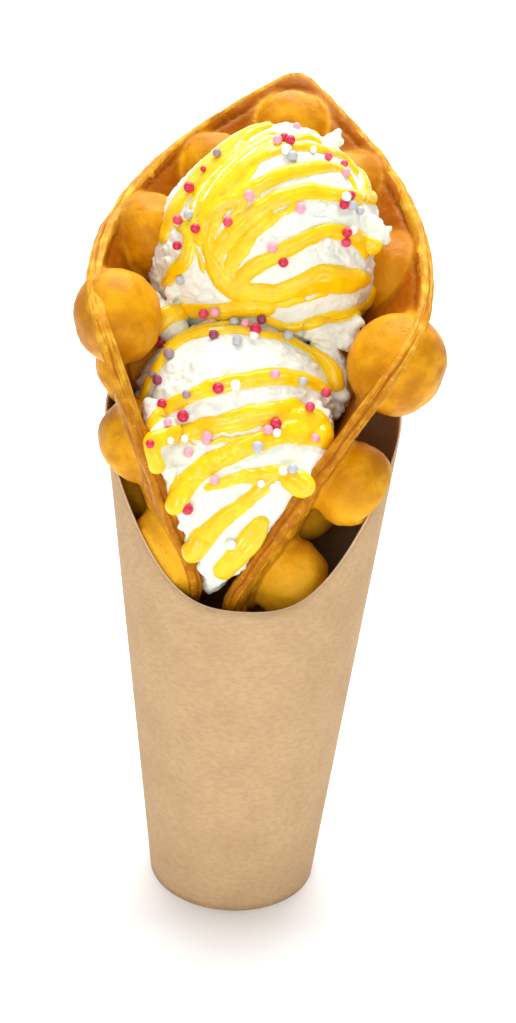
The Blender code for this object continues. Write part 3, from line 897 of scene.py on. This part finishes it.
class Scoop:
    """A bumpy ball of cream, as in the solids, and what lies on it."""

    def __init__(self, centre, radii, form, seed):
        self.centre = Vector(centre)
        self.radii = radii
        self.form = form
        dice = random.Random(seed)
        self.waves = []
        for k in range(BUMP_WAVES):
            way = Vector([dice.gauss(0.0, 1.0) for _ in range(3)]).normalized()
            self.waves.append((way * (BUMP_COARSEST + k), dice.uniform(0.0, 2.0 * math.pi)))
        self.tree = None

    def surface(self, way):
        """Point of the surface in a direction from the centre."""
        across, deep, up, down = self.radii
        bulge, taper, lean = self.form
        rise = max(0.0, way.z)
        narrow = 1.0 - taper * rise ** TAPER_POWER
        across *= 1.0 + bulge * max(0.0, -2.0 * way.z) * math.hypot(way.x, way.y)
        axes = Vector((across * narrow, deep * narrow, up if way.z > 0.0 else down))
        normal = Vector([w / a for w, a in zip(way, axes)]).normalized()
        bump = sum(math.sin(wave.dot(way) + shift) for wave, shift in self.waves)
        point = self.centre + Vector([w * a for w, a in zip(way, axes)])
        point.x += lean * rise
        return point + normal * (CREAM_BUMP * bump)

    def core(self, name, voxel, lumps):
        """Smooth body of the scoop, with round lumps melted into it."""
        work = bmesh.new()
        bmesh.ops.create_icosphere(work, subdivisions=6, radius=1.0)
        for vert in work.verts:
            vert.co = self.surface(vert.co.normalized())
        for place, radius in lumps:
            bmesh.ops.create_icosphere(work, subdivisions=3, radius=radius,
                                       matrix=Matrix.Translation(place))
        body = mesh_object(name, work)
        remesh(body, voxel, CREAM_SOFTEN)
        return body


def tail_lumps():
    """Balls along the tail of cream between the sheet's edges."""
    lumps = []
    for i in range(TAIL_STEPS + 1):
        share = i / TAIL_STEPS
        place = Vector(TAIL_TOP).lerp(Vector(TAIL_TIP), share)
        lumps.append((place, TAIL_R * (1.0 - share) ** TAIL_TAPER + TAIL_TIP_R))
    return lumps


def photo_lumps(photo, nubs, ridges, rows=()):
    """Balls for the nubs, ridges and rows of cream that the photo shows."""
    stations = list(nubs)
    for ridge in ridges:
        stations += smooth_path(ridge, RIDGE_STEPS)
    for y, first, last, depth, radius in smooth_path(rows, ROW_STEPS) if rows else ():
        middle = (first + last) / 2.0
        for x in np.linspace(first, last, 2 + int((last - first) / ROW_PITCH)):
            back = ROW_BOW * ((x - middle) / ROW_HALF) ** 2
            stations.append((x, y, depth + back, radius))
    return [(photo.at_depth(x, y, depth), radius) for x, y, depth, radius in stations]


def surface_tree(*objects):
    """Search tree over one or more pieces together, in mm."""
    points = []
    faces = []
    for obj in objects:
        first = len(points)
        points.extend(points_of(obj.data)[0].tolist())
        faces.extend(tuple(first + i for i in face.vertices) for face in obj.data.polygons)
    return BVHTree.FromPolygons(points, faces)


def whip(obj, covered):
    """Folded and torn whipped surface, left smooth where the sauce lies."""
    mesh = obj.data
    points, normals = points_of(mesh)
    bent = [noise_field(points, "bend", BEND_APART * axis) for axis in range(3)]
    squashed = points + FOLD_BEND * np.stack(bent, -1)
    squashed = squashed / (FOLD_STRETCH, FOLD_STRETCH, 1.0)
    folds = np.abs(noise_field(squashed, "fold"))
    crags = ridge_field(squashed, "crag")
    calm = smoothstep(noise_field(points, "calm") * 1.6 + 0.6)
    relief = FOLDS * (folds - FOLD_LEVEL) + CRAG * (crags - CRAG_LEVEL)
    relief = (CALM_LEAST + (1.0 - CALM_LEAST) * calm) * relief
    relief = relief + FLUFF * noise_field(points, "fluff")
    relief = relief * (1.0 - COVERED_SMOOTH * covered)
    set_points(mesh, points + normals * relief[:, None])


def smooth_path(stations, steps):
    """Points along a Catmull-Rom curve through the stations."""
    data = [np.array(station, float) for station in stations]
    data = [2.0 * data[0] - data[1]] + data + [2.0 * data[-1] - data[-2]]
    path = []
    for i in range(len(stations) - 1):
        p0, p1, p2, p3 = data[i:i + 4]
        for step in range(steps):
            t = step / steps
            path.append(0.5 * (2.0 * p1 + (p2 - p0) * t
                               + (2.0 * p0 - 5.0 * p1 + 4.0 * p2 - p3) * t * t
                               + (3.0 * p1 - p0 - 3.0 * p2 + p3) * t ** 3))
    path.append(data[-2])
    return path


def photo_strokes(photo, scoop, strokes, high, gap=0.0):
    """Strokes carried from the photo onto a scoop: how high each stands, how
    far its strands part, and its path.

    The path has a row for each point: x, y, z and half-width.
    """
    paths = []
    for stations in strokes:
        path = []
        for x, y, width in smooth_path(stations, STROKE_STEPS):
            place, _ = photo.land(x, y, scoop)
            path.append((*place, SAUCE_SPREAD * 0.5 * width * photo.mm_per_pixel(place)))
        paths.append((high, gap, np.array(path)))
    return paths


def back_strokes(scoop, strokes):
    """Strokes given by directions from a scoop's centre."""
    paths = []
    for half_width, *stations in strokes:
        path = []
        for azimuth, elevation in smooth_path(stations, BACK_STEPS):
            a = math.radians(azimuth)
            e = math.radians(elevation)
            way = Vector((math.sin(a) * math.cos(e), -math.cos(a) * math.cos(e), math.sin(e)))
            path.append((*scoop.surface(way), half_width))
        paths.append((SAUCE_HIGH, 0.0, np.array(path)))
    return paths


def across_stroke(points, path, ragged):
    """Each point's place across a stroke: distance past its edge, the ratio of
    its distance to the half-width, that half-width, and the signed distance."""
    beyond = np.full(len(points), FAR)
    ratio = np.full(len(points), FAR)
    half = np.ones(len(points))
    side = np.zeros(len(points))
    low = path[:, :3].min(0) - FAR
    high = path[:, :3].max(0) + FAR
    near = np.flatnonzero(np.all((points > low) & (points < high), axis=1))
    for start, end in zip(path, path[1:]):
        run = end[:3] - start[:3]
        away = points[near] - start[:3]
        along = np.clip(away @ run / max(run @ run, 1e-9), 0.0, 1.0)
        offset = away - along[:, None] * run
        distance = np.linalg.norm(offset, axis=1) + ragged[near]
        width = start[3] + along * (end[3] - start[3])
        closer = distance - width < beyond[near]
        spot = near[closer]
        beyond[spot] = (distance - width)[closer]
        ratio[spot] = np.clip(distance / width, 0.0, FAR)[closer]
        half[spot] = width[closer]
        turned = np.cross(run, points[spot] - LOWER_C)
        side[spot] = np.sign(np.sum(offset[closer] * turned, axis=1)) * distance[closer]
    return beyond, ratio, half, side


def sauce_height(points, paths):
    """How high the sauce stands at each point, the distance past its edge, its
    strands' shade, and how thick it is.

    Beyond a stroke's edge the height falls to SAUCE_SUNK below the surface.
    """
    ragged = SAUCE_RAGGED * noise_field(points, "sauce_ragged")
    swell = 1.0 + SAUCE_UNEVEN * noise_field(points, "sauce_swell")
    drift = STRAND_DRIFT * noise_field(points, "strand_drift")
    streaky = smoothstep(0.5 + 1.3 * noise_field(points, "strand_shown"))
    pile = np.zeros(len(points))
    edge = np.full(len(points), FAR)
    shade = np.zeros(len(points))
    for number, (thick, gap, path) in enumerate(paths):
        beyond, ratio, half, side = across_stroke(points, path, ragged)
        bead = np.sqrt(np.maximum(0.0, 1.0 - ratio ** SAUCE_FLAT))
        if gap:
            wave = np.cos(2.0 * np.pi * side / GLAZE_STRAND + number + drift)
            part = -gap * (GLAZE_FULL + wave)
            bead = bead * smoothstep(-GLAZE_SHARP * part)
            beyond = np.maximum(beyond, part)
        strands = np.cos(2.0 * np.pi * side / STRAND + number + drift) * streaky
        high = (np.minimum(thick, SAUCE_STEEP * half) * swell + STRAND_DEEP * strands) * bead
        pile = pile + np.maximum(high, 0.0) ** 4
        edge = np.minimum(edge, beyond)
        shade = np.where(beyond < 0.0, 0.5 + 0.5 * strands, shade)
    pile = pile ** 0.25
    outside = smoothstep(edge / SAUCE_EDGE)
    return pile - SAUCE_SUNK * outside, edge, shade, np.clip(pile / SAUCE_HIGH, 0.0, 1.0)


def make_sauce(name, scoop, lumps, paths):
    """Skin of sauce that follows a scoop's surface under its strokes."""
    sauce = scoop.core(name, SAUCE_VOXEL, lumps)
    points, normals = points_of(sauce.data)
    high, edge, shade, thick = sauce_height(points, paths)
    points = points + normals * high[:, None]
    number = np.full(len(points), -1)
    kept = np.flatnonzero(edge < SAUCE_EDGE + SAUCE_SKIRT)
    number[kept] = np.arange(len(kept))
    faces = np.empty(len(sauce.data.loops), int)
    sauce.data.loops.foreach_get("vertex_index", faces)
    faces = number[faces.reshape(-1, 4)]
    faces = faces[np.all(faces >= 0, axis=1)]
    mesh = bpy.data.meshes.new(name)
    mesh.from_pydata((points[kept] * MM).tolist(), [], faces.tolist())
    set_field(mesh, "strand", shade[kept])
    set_field(mesh, "thick", thick[kept])
    swap_mesh(sauce, mesh)
    return sauce


def make_pearls(photo, colour, scoops):
    """All the sugar pearls of one colour, sitting on cream and sauce."""
    work = bmesh.new()
    for scoop, pearls in scoops:
        for x, y, width in pearls:
            place, normal = photo.land(x, y, scoop)
            radius = 0.5 * width * photo.mm_per_pixel(place)
            spot = Matrix.Translation(place + normal * (PEARL_SIT * radius))
            bmesh.ops.create_icosphere(work, subdivisions=4, radius=radius, matrix=spot)
    return mesh_object("pearls_" + colour, work)


class Shader:
    """Small helper that builds one material's nodes, tint over tint."""

    def __init__(self, name, roughness, specular=0.5):
        self.material = bpy.data.materials.new(name)
        self.material.use_nodes = True
        self.tree = self.material.node_tree
        self.bsdf = self.tree.nodes["Principled BSDF"]
        self.coords = self.node("TexCoord").outputs["Object"]
        self.colour = None
        self.feed(self.bsdf, Roughness=roughness, Specular_IOR_Level=specular)

    def join(self, value, target):
        """Give an input a constant, or link another node's socket to it."""
        if isinstance(value, bpy.types.NodeSocket):
            self.tree.links.new(value, target)
        else:
            target.default_value = value

    def feed(self, node, **inputs):
        """Fill a node's inputs; a space in a name is written as _."""
        for name, value in inputs.items():
            self.join(value, node.inputs[name.replace("_", " ")])
        return node

    def node(self, kind, **inputs):
        """New node with its inputs filled."""
        return self.feed(self.tree.nodes.new("ShaderNode" + kind), **inputs)

    def field(self, name):
        """Number stored for each vertex."""
        node = self.node("Attribute")
        node.attribute_name = name
        return node.outputs["Fac"]

    def ramp(self, axis, low, high):
        """Ramp from 0 to 1 between two places in metres along an axis."""
        place = self.node("SeparateXYZ", Vector=self.coords)
        return self.spread(place.outputs[axis], low, high)

    def stretched(self, scale):
        """Object coordinates stretched along the axes."""
        return self.node("Mapping", Vector=self.coords, Scale=scale).outputs["Vector"]

    def noise(self, size, detail=3.0, coords=None):
        """Noise with lumps of a size in mm."""
        scale = 1.0 / (size * MM)
        node = self.node("TexNoise", Vector=coords or self.coords, Scale=scale, Detail=detail)
        return node.outputs["Fac"]

    def specks(self, size, share):
        """Round specks of a size in mm that cover about a share of the surface."""
        node = self.node("TexVoronoi", Vector=self.coords, Scale=1.0 / (size * MM))
        return self.spread(node.outputs["Distance"], share, 0.0)

    def spread(self, value, low, high):
        """Value mapped from low..high to 0..1, smoothly."""
        node = self.node("MapRange", Value=value, From_Min=low, From_Max=high)
        node.interpolation_type = "SMOOTHSTEP"
        return node.outputs["Result"]

    def product(self, first, second):
        """Product of two values, either of which may be a plain number."""
        node = self.node("Math")
        node.operation = "MULTIPLY"
        for value, socket in zip((first, second), node.inputs):
            self.join(value, socket)
        return node.outputs["Value"]

    def mix(self, share, first, second):
        """Colour between two, each a socket or a plain colour."""
        node = self.node("Mix", Factor=share)
        node.data_type = "RGBA"
        sockets = [socket for socket in node.inputs if socket.type == "RGBA"]
        for colour, socket in zip((first, second), sockets):
            self.join((*colour, 1.0) if isinstance(colour, tuple) else colour, socket)
        return next(socket for socket in node.outputs if socket.type == "RGBA")

    def layer(self, share, strength, tint):
        """Lay a tint over the colour, by a share times a strength."""
        self.colour = self.mix(self.product(share, strength), self.colour, tint)

    def bump(self, value, depth, before=None):
        """Relief of a depth in mm, over an earlier one."""
        node = self.node("Bump", Height=value, Distance=depth * MM)
        if before is not None:
            self.join(before, node.inputs["Normal"])
        return node.outputs["Normal"]

    def glow_through(self, weight, radii):
        """Light that scatters under the surface, with radii in mm."""
        self.feed(self.bsdf, Subsurface_Weight=weight, Subsurface_Scale=1.0,
                  Subsurface_Radius=[r * MM for r in radii])

    def finish(self, normal=None):
        """Join the colour and the relief to the shader."""
        self.feed(self.bsdf, Base_Color=self.colour)
        if normal is not None:
            self.feed(self.bsdf, Normal=normal)
        return self.material


def crust_material():
    """Golden crust: deeper inside the fold, mottled, with dark pores; painted light makes it paler
    towards the bottom, and painted shade darkens the sheet inside the fold, its crease and the bubbles'
    feet.
    """
    s = Shader("crust", 0.42, 0.12)
    web = s.field("web")
    inside = s.field("inside")
    mottle = s.spread(s.noise(7.0, 4.0), 0.35, 0.68)
    outer = s.mix(mottle, (0.47, 0.172, 0.002), (0.74, 0.340, 0.006))
    inner = s.mix(mottle, (0.58, 0.225, 0.002), (0.78, 0.350, 0.004))
    s.colour = s.mix(inside, outer, inner)
    # Paler towards the bottom: painted light on the lower bubbles.
    s.layer(s.ramp("Z", 0.150, 0.110), 0.75, (0.92, 0.47, 0.018))
    patches = s.spread(s.noise(12.0, 5.0), 0.55, 0.75)
    s.layer(patches, 0.35, (0.78, 0.42, 0.030))
    seam = s.product(web, s.spread(s.noise(3.0, 4.0), 0.34, 0.60))
    s.layer(seam, 0.68, (0.36, 0.105, 0.002))
    # Darker towards the top right, inside the fold.
    darker_patch = s.product(s.ramp("X", 0.020, 0.034), s.ramp("Z", 0.180, 0.200))
    s.layer(s.product(darker_patch, inside), 0.65, (0.46, 0.140, 0.001))
    # Darker sheet between the bubbles inside the fold: painted shade.
    s.layer(s.product(web, inside), 0.9, (0.37, 0.090, 0.001))
    # Darker ring where the bubbles meet the sheet: toasting there, with painted shade in the crevice.
    foot_toast_and_shade = s.product(s.spread(web, 0.0, 0.3), s.spread(web, 1.0, 0.5))
    s.layer(foot_toast_and_shade, 0.45, (0.36, 0.110, 0.002))
    # Darker along the crease inside the edge: painted shade.
    s.layer(s.field("crease"), 0.5, (0.30, 0.09, 0.002))
    pores = s.product(s.specks(1.5, 0.17), s.spread(s.noise(6.0), 0.42, 0.58))
    s.layer(pores, 0.6, (0.22, 0.07, 0.004))
    normal = s.bump(s.noise(0.8, 4.0), 0.19)
    s.glow_through(0.08, (3.0, 1.0, 0.2))
    return s.finish(s.bump(pores, -0.2, normal))


def rim_material():
    """Crisp edge: pale above and toasted below, with brown streaks, and grooves darkened by toasting
    and painted shade.
    """
    s = Shader("crust_rim", 0.5, 0.12)
    mottle = s.spread(s.noise(3.5, 5.0), 0.38, 0.66)
    pale = s.mix(mottle, (0.68, 0.30, 0.010), (0.82, 0.47, 0.040))
    toasted = s.mix(mottle, (0.38, 0.12, 0.002), (0.56, 0.225, 0.005))
    s.colour = s.mix(s.ramp("Z", 0.140, 0.185), toasted, pale)
    darker_patch = s.spread(s.noise(9.0, 3.0), 0.45, 0.62)
    s.layer(darker_patch, 0.45, (0.50, 0.17, 0.004))
    lines = s.spread(s.field("streak"), 0.50, 0.22)
    s.layer(lines, 0.6, (0.36, 0.105, 0.003))
    flecks = s.spread(s.noise(1.1, 3.0), 0.60, 0.72)
    s.layer(flecks, 0.45, (0.88, 0.52, 0.090))
    # Darker in the grooves: toasting there, with painted shade.
    groove = s.spread(s.field("groove"), 0.15, 0.95)
    s.layer(groove, 0.7, (0.36, 0.10, 0.002))
    specks = s.product(s.specks(1.4, 0.22), s.spread(s.noise(4.0), 0.5, 0.62))
    s.layer(specks, 0.75, (0.17, 0.045, 0.003))
    s.glow_through(0.08, (3.0, 1.0, 0.2))
    return s.finish(s.bump(s.noise(0.7, 4.0), 0.18))


def cream_material():
    """Soft whipped cream."""
    s = Shader("cream", 0.55, 0.3)
    mottle = s.spread(s.noise(6.0, 3.0), 0.40, 0.70)
    s.colour = s.mix(mottle, (0.84, 0.875, 0.77), (0.90, 0.925, 0.84))
    s.glow_through(0.3, (2.0, 1.9, 1.5))
    return s.finish(s.bump(s.noise(1.6, 4.0), 0.30))


def sauce_material():
    """Glossy yellow sauce: paler where it is thin, streaked along its strands with lighter colour and
    painted highlights.
    """
    s = Shader("sauce", 0.3, 0.15)
    mottle = s.spread(s.noise(5.0, 3.0), 0.42, 0.64)
    deep = s.mix(mottle, (0.95, 0.56, 0.002), (0.96, 0.64, 0.003))
    pale = s.mix(mottle, (0.96, 0.65, 0.006), (0.96, 0.71, 0.03))
    s.colour = s.mix(s.spread(s.field("thick"), 0.15, 0.70), pale, deep)
    # Lighter streaks along the strands: strand colour, with painted highlights.
    streaks = s.product(s.spread(s.field("strand"), 0.55, 1.0), s.spread(s.noise(4.0), 0.45, 0.62))
    s.layer(streaks, 0.65, (0.97, 0.84, 0.30))
    s.feed(s.bsdf, Coat_Weight=0.6, Coat_Roughness=0.08)
    s.glow_through(0.15, (2.0, 1.2, 0.2))
    return s.finish(s.bump(s.noise(1.6, 2.0), 0.10))


def pearl_material(name, colour):
    """Sugar shell with a faint grain."""
    s = Shader("pearl_" + name, 0.32)
    s.colour = colour
    pale = tuple(0.75 * c + 0.25 for c in colour)
    s.layer(s.spread(s.noise(0.5, 3.0), 0.5, 0.8), 0.5, pale)
    return s.finish(s.bump(s.noise(0.35, 2.0), 0.03))


def card_material(name, pale, dark, depth):
    """Kraft card: fine fibres and soft clouds of colour."""
    s = Shader(name, 0.82)
    s.colour = pale
    clouds = s.spread(s.noise(16.0, 4.0), 0.35, 0.68)
    s.layer(clouds, 0.55, dark)
    fibres = s.spread(s.noise(0.9, 4.0, s.stretched((0.45, 0.45, 1.0))), 0.35, 0.7)
    s.layer(fibres, 0.30, tuple(0.72 * c for c in dark))
    s.layer(s.specks(2.6, 0.11), 0.35, tuple(0.45 * c for c in dark))
    return s.finish(s.bump(fibres, depth))


def dress(obj, materials):
    """Give a piece its materials and join it to the frame."""
    obj.data.materials.clear()
    for material in materials:
        obj.data.materials.append(material)
    obj.data.shade_smooth()
    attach(obj, "root")


def make_stage():
    """Pale floor that curves up behind, and soft lights."""
    work = bmesh.new()
    width = 3000.0
    front = -1500.0
    bend = 1200.0
    radius = 600.0
    top = 2600.0
    steps = 12
    profile = [(front, 0.0), (bend, 0.0)]
    for i in range(1, steps + 1):
        a = math.radians(90.0 * i / steps)
        profile.append((bend + radius * math.sin(a), radius * (1.0 - math.cos(a))))
    profile.append((bend + radius, top))
    rows = [[work.verts.new((side * width, y, z)) for side in (-1.0, 1.0)] for y, z in profile]
    for near, far in zip(rows, rows[1:]):
        work.faces.new((near[0], near[1], far[1], far[0]))
    floor = mesh_object("floor", work)
    s = Shader("floor", 0.9)
    tone = s.spread(s.noise(400.0, 2.0), 0.3, 0.7)
    s.colour = s.mix(tone, (0.93, 0.93, 0.93), (0.95, 0.95, 0.95))
    floor.data.materials.append(s.finish())
    floor.data.shade_smooth()

    world = bpy.data.worlds.new("studio")
    world.use_nodes = True
    sky = world.node_tree.nodes["Background"].inputs
    sky["Color"].default_value = (1.0, 1.0, 1.0, 1.0)
    sky["Strength"].default_value = WORLD_LIGHT
    bpy.context.scene.world = world
    for name, place, target, size, power in LAMPS:
        data = bpy.data.lights.new(name, "AREA")
        data.size = size * MM
        data.energy = power
        lamp = add_object(name, data)
        lamp.location = Vector(place) * MM
        aim = Vector(target) - Vector(place)
        lamp.rotation_euler = aim.to_track_quat("-Z", "Y").to_euler()
    bpy.context.scene.view_settings.view_transform = "Standard"


def main():
    """Build every piece."""
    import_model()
    photo = Photo(*make_camera())

    cup = make_cup()
    card = card_material("card", (0.56, 0.365, 0.187), (0.47, 0.297, 0.145), 0.05)
    edge = card_material("card_edge", (0.80, 0.64, 0.46), (0.72, 0.55, 0.38), 0.02)
    dress(cup, (card, edge))
    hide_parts("holder")

    crust = make_waffle()
    rim = make_rim()
    dress(crust, (crust_material(),))
    dress(rim, (rim_material(),))
    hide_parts("waffle")

    upper = Scoop(UPPER_C, UPPER_R, UPPER_FORM, UPPER_SEED)
    lower = Scoop(LOWER_C, LOWER_R, LOWER_FORM, LOWER_SEED)
    cream_look = cream_material()
    sauce_look = sauce_material()
    upper_lumps = photo_lumps(photo, UPPER_NUBS, UPPER_RIDGES)
    lower_lumps = tail_lumps() + photo_lumps(photo, LOWER_NUBS, LOWER_RIDGES, LOWER_ROWS)
    jobs = (
        ("upper", upper, upper_lumps, UPPER_SAUCE, UPPER_GLAZE, BACK_SAUCE),
        ("lower", lower, lower_lumps, LOWER_SAUCE, LOWER_GLAZE, ()),
    )
    for name, scoop, lumps, strokes, glaze, hidden in jobs:
        cream = scoop.core("cream_" + name, CREAM_VOXEL, lumps)
        scoop.tree = surface_tree(cream)
        paths = photo_strokes(photo, scoop, glaze, GLAZE_HIGH, GLAZE_GAP)
        paths += photo_strokes(photo, scoop, strokes, SAUCE_HIGH)
        paths += back_strokes(scoop, hidden)
        sauce = make_sauce("sauce_" + name, scoop, lumps, paths)
        beyond = sauce_height(points_of(cream.data)[0], paths)[1]
        whip(cream, 1.0 - smoothstep((beyond - SAUCE_EDGE) / CREAM_CALM))
        scoop.tree = surface_tree(cream, sauce)
        cut(cream, crust)
        drop_scraps(cream)
        dress(cream, (cream_look,))
        dress(sauce, (sauce_look,))
        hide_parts("scoop_" + name)

    for colour, (tint, *spots) in PEARLS.items():
        pearls = make_pearls(photo, colour, zip((upper, lower), spots))
        dress(pearls, (pearl_material(colour, tint),))

    make_stage()


main()
